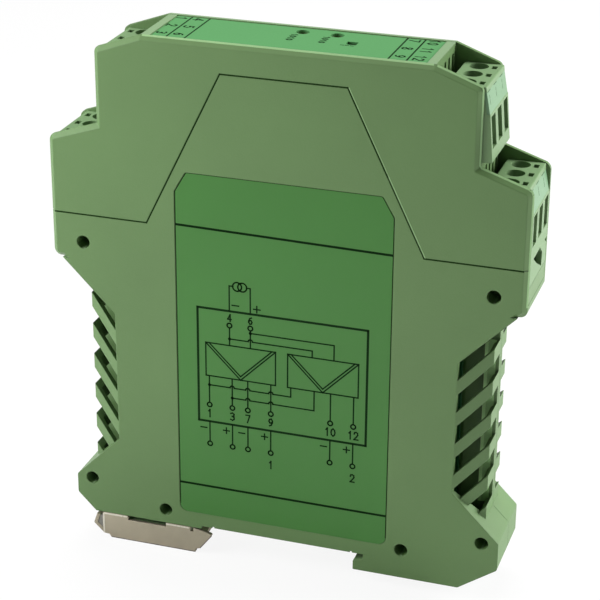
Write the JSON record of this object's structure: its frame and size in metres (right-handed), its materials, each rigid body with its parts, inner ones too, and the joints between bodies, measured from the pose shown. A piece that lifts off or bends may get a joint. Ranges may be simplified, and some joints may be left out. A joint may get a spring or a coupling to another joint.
{
  "type": "signal isolator",
  "caption": "Narrow rail-mounted signal isolator: stepped green housing with louvred waists, screw terminals at two heights on both ends, and a sliding foot latch.",
  "frame": {"origin": "centre of the face that rests on the rail's flanges", "axes": "+X along the housing towards the fixed hook, +Y across its width, +Z away from the rail"},
  "size_m": [0.0994, 0.0176, 0.114],
  "materials": {
    "housing": "fine matt moulded polyamide, sage green",
    "terminal": "moulded polyamide, slightly lighter green",
    "strip": "pale green printed marker strip",
    "label": "printed polyester film, deeper green, satin",
    "top_label": "printed polyester film, brighter green, satin",
    "plated_steel": "zinc plated, slightly worn",
    "latch_steel": "yellowish zinc plated strip",
    "spring_steel": "bright spring wire",
    "contact_brass": "tinned brass",
    "board": "glass fibre laminate with solder mask",
    "ferrite": "sintered ferrite, dark grey",
    "winding": "enamelled copper wire",
    "capacitor": "sleeved aluminium can",
    "chip": "moulded epoxy",
    "trimmer_case": "blue moulded case",
    "lamp": "clear red lamp lens"
  },
  "bodies": {
    "housing": {"front_shell": "housing", "rear_shell": "housing", "top_hood": "housing", "top_label": "top_label", "wiring_label": "label", "terminal_block_upper_left": "terminal", "terminal_block_upper_right": "terminal", "terminal_block_lower_left": "terminal", "terminal_block_lower_right": "terminal", "marker_strip_upper_left": "strip", "marker_strip_upper_right": "strip", "marker_strip_lower_left": "strip", "marker_strip_lower_right": "strip", "contact_pins_upper_left": "contact_brass", "contact_pins_upper_right": "contact_brass", "contact_pins_lower_left": "contact_brass", "contact_pins_lower_right": "contact_brass", "main_board": "board", "transformer_core": "ferrite", "transformer_winding": "winding", "capacitors": "capacitor", "chips": "chip", "trimmer_bodies": "trimmer_case", "power_led": "lamp", "latch_spring": "spring_steel"},
    "foot_latch": {"foot_latch": "latch_steel"},
    "zero_trimmer": {"zero_trimmer_screw": "contact_brass"},
    "span_trimmer": {"span_trimmer_screw": "contact_brass"},
    "screw_upper_left_1": {"screw_upper_left_1": "plated_steel"},
    "clamp_upper_left_1": {"clamp_upper_left_1": "contact_brass"},
    "screw_upper_left_2": {"screw_upper_left_2": "plated_steel"},
    "clamp_upper_left_2": {"clamp_upper_left_2": "contact_brass"},
    "screw_upper_left_3": {"screw_upper_left_3": "plated_steel"},
    "clamp_upper_left_3": {"clamp_upper_left_3": "contact_brass"},
    "screw_upper_right_1": {"screw_upper_right_1": "plated_steel"},
    "clamp_upper_right_1": {"clamp_upper_right_1": "contact_brass"},
    "screw_upper_right_2": {"screw_upper_right_2": "plated_steel"},
    "clamp_upper_right_2": {"clamp_upper_right_2": "contact_brass"},
    "screw_upper_right_3": {"screw_upper_right_3": "plated_steel"},
    "clamp_upper_right_3": {"clamp_upper_right_3": "contact_brass"},
    "screw_lower_left_1": {"screw_lower_left_1": "plated_steel"},
    "clamp_lower_left_1": {"clamp_lower_left_1": "contact_brass"},
    "screw_lower_left_2": {"screw_lower_left_2": "plated_steel"},
    "clamp_lower_left_2": {"clamp_lower_left_2": "contact_brass"},
    "screw_lower_left_3": {"screw_lower_left_3": "plated_steel"},
    "clamp_lower_left_3": {"clamp_lower_left_3": "contact_brass"},
    "screw_lower_right_1": {"screw_lower_right_1": "plated_steel"},
    "clamp_lower_right_1": {"clamp_lower_right_1": "contact_brass"},
    "screw_lower_right_2": {"screw_lower_right_2": "plated_steel"},
    "clamp_lower_right_2": {"clamp_lower_right_2": "contact_brass"},
    "screw_lower_right_3": {"screw_lower_right_3": "plated_steel"},
    "clamp_lower_right_3": {"clamp_lower_right_3": "contact_brass"}
  },
  "joints": [
    {"name": "foot_latch_slide", "type": "slide", "parent": "housing", "child": "foot_latch", "axis": [-1, 0, 0], "range_m": [0, 0.004], "stiffness_N_per_m": 800, "springref_m": -0.0015, "deforming": ["latch_spring"]},
    {"name": "zero_trimmer_turn", "type": "hinge", "parent": "housing", "child": "zero_trimmer", "pos_m": [-0.0005, 0.0048, 0.1045], "axis": [0, 0, 1], "continuous": true},
    {"name": "span_trimmer_turn", "type": "hinge", "parent": "housing", "child": "span_trimmer", "pos_m": [0.0066, 0.0048, 0.1045], "axis": [0, 0, 1], "continuous": true},
    {"name": "screw_upper_left_1_turn", "type": "hinge", "parent": "housing", "child": "screw_upper_left_1", "pos_m": [-0.034, -0.00508, 0.1021], "axis": [0, 0, -1], "range_deg": [0, 1440]},
    {"name": "clamp_upper_left_1_lift", "type": "slide", "parent": "housing", "child": "clamp_upper_left_1", "axis": [0, 0, 1], "range_m": [0, 0.002]},
    {"name": "screw_upper_left_2_turn", "type": "hinge", "parent": "housing", "child": "screw_upper_left_2", "pos_m": [-0.034, 0, 0.1021], "axis": [0, 0, -1], "range_deg": [0, 1440]},
    {"name": "clamp_upper_left_2_lift", "type": "slide", "parent": "housing", "child": "clamp_upper_left_2", "axis": [0, 0, 1], "range_m": [0, 0.002]},
    {"name": "screw_upper_left_3_turn", "type": "hinge", "parent": "housing", "child": "screw_upper_left_3", "pos_m": [-0.034, 0.00508, 0.1021], "axis": [0, 0, -1], "range_deg": [0, 1440]},
    {"name": "clamp_upper_left_3_lift", "type": "slide", "parent": "housing", "child": "clamp_upper_left_3", "axis": [0, 0, 1], "range_m": [0, 0.002]},
    {"name": "screw_upper_right_1_turn", "type": "hinge", "parent": "housing", "child": "screw_upper_right_1", "pos_m": [0.0349, -0.00508, 0.1021], "axis": [0, 0, -1], "range_deg": [0, 1440]},
    {"name": "clamp_upper_right_1_lift", "type": "slide", "parent": "housing", "child": "clamp_upper_right_1", "axis": [0, 0, 1], "range_m": [0, 0.002]},
    {"name": "screw_upper_right_2_turn", "type": "hinge", "parent": "housing", "child": "screw_upper_right_2", "pos_m": [0.0349, 0, 0.1021], "axis": [0, 0, -1], "range_deg": [0, 1440]},
    {"name": "clamp_upper_right_2_lift", "type": "slide", "parent": "housing", "child": "clamp_upper_right_2", "axis": [0, 0, 1], "range_m": [0, 0.002]},
    {"name": "screw_upper_right_3_turn", "type": "hinge", "parent": "housing", "child": "screw_upper_right_3", "pos_m": [0.0349, 0.00508, 0.1021], "axis": [0, 0, -1], "range_deg": [0, 1440]},
    {"name": "clamp_upper_right_3_lift", "type": "slide", "parent": "housing", "child": "clamp_upper_right_3", "axis": [0, 0, 1], "range_m": [0, 0.002]},
    {"name": "screw_lower_left_1_turn", "type": "hinge", "parent": "housing", "child": "screw_lower_left_1", "pos_m": [-0.0441, -0.00508, 0.08325], "axis": [0, 0, -1], "range_deg": [0, 1440]},
    {"name": "clamp_lower_left_1_lift", "type": "slide", "parent": "housing", "child": "clamp_lower_left_1", "axis": [0, 0, 1], "range_m": [0, 0.002]},
    {"name": "screw_lower_left_2_turn", "type": "hinge", "parent": "housing", "child": "screw_lower_left_2", "pos_m": [-0.0441, 0, 0.08325], "axis": [0, 0, -1], "range_deg": [0, 1440]},
    {"name": "clamp_lower_left_2_lift", "type": "slide", "parent": "housing", "child": "clamp_lower_left_2", "axis": [0, 0, 1], "range_m": [0, 0.002]},
    {"name": "screw_lower_left_3_turn", "type": "hinge", "parent": "housing", "child": "screw_lower_left_3", "pos_m": [-0.0441, 0.00508, 0.08325], "axis": [0, 0, -1], "range_deg": [0, 1440]},
    {"name": "clamp_lower_left_3_lift", "type": "slide", "parent": "housing", "child": "clamp_lower_left_3", "axis": [0, 0, 1], "range_m": [0, 0.002]},
    {"name": "screw_lower_right_1_turn", "type": "hinge", "parent": "housing", "child": "screw_lower_right_1", "pos_m": [0.0441, -0.00508, 0.08325], "axis": [0, 0, -1], "range_deg": [0, 1440]},
    {"name": "clamp_lower_right_1_lift", "type": "slide", "parent": "housing", "child": "clamp_lower_right_1", "axis": [0, 0, 1], "range_m": [0, 0.002]},
    {"name": "screw_lower_right_2_turn", "type": "hinge", "parent": "housing", "child": "screw_lower_right_2", "pos_m": [0.0441, 0, 0.08325], "axis": [0, 0, -1], "range_deg": [0, 1440]},
    {"name": "clamp_lower_right_2_lift", "type": "slide", "parent": "housing", "child": "clamp_lower_right_2", "axis": [0, 0, 1], "range_m": [0, 0.002]},
    {"name": "screw_lower_right_3_turn", "type": "hinge", "parent": "housing", "child": "screw_lower_right_3", "pos_m": [0.0441, 0.00508, 0.08325], "axis": [0, 0, -1], "range_deg": [0, 1440]},
    {"name": "clamp_lower_right_3_lift", "type": "slide", "parent": "housing", "child": "clamp_lower_right_3", "axis": [0, 0, 1], "range_m": [0, 0.002]}
  ],
  "couplings": [
    {"joint": "screw_upper_left_1_turn", "follows": "clamp_upper_left_1_lift", "rad_per_m": 12566},
    {"joint": "screw_upper_left_2_turn", "follows": "clamp_upper_left_2_lift", "rad_per_m": 12566},
    {"joint": "screw_upper_left_3_turn", "follows": "clamp_upper_left_3_lift", "rad_per_m": 12566},
    {"joint": "screw_upper_right_1_turn", "follows": "clamp_upper_right_1_lift", "rad_per_m": 12566},
    {"joint": "screw_upper_right_2_turn", "follows": "clamp_upper_right_2_lift", "rad_per_m": 12566},
    {"joint": "screw_upper_right_3_turn", "follows": "clamp_upper_right_3_lift", "rad_per_m": 12566},
    {"joint": "screw_lower_left_1_turn", "follows": "clamp_lower_left_1_lift", "rad_per_m": 12566},
    {"joint": "screw_lower_left_2_turn", "follows": "clamp_lower_left_2_lift", "rad_per_m": 12566},
    {"joint": "screw_lower_left_3_turn", "follows": "clamp_lower_left_3_lift", "rad_per_m": 12566},
    {"joint": "screw_lower_right_1_turn", "follows": "clamp_lower_right_1_lift", "rad_per_m": 12566},
    {"joint": "screw_lower_right_2_turn", "follows": "clamp_lower_right_2_lift", "rad_per_m": 12566},
    {"joint": "screw_lower_right_3_turn", "follows": "clamp_lower_right_3_lift", "rad_per_m": 12566}
  ]
}
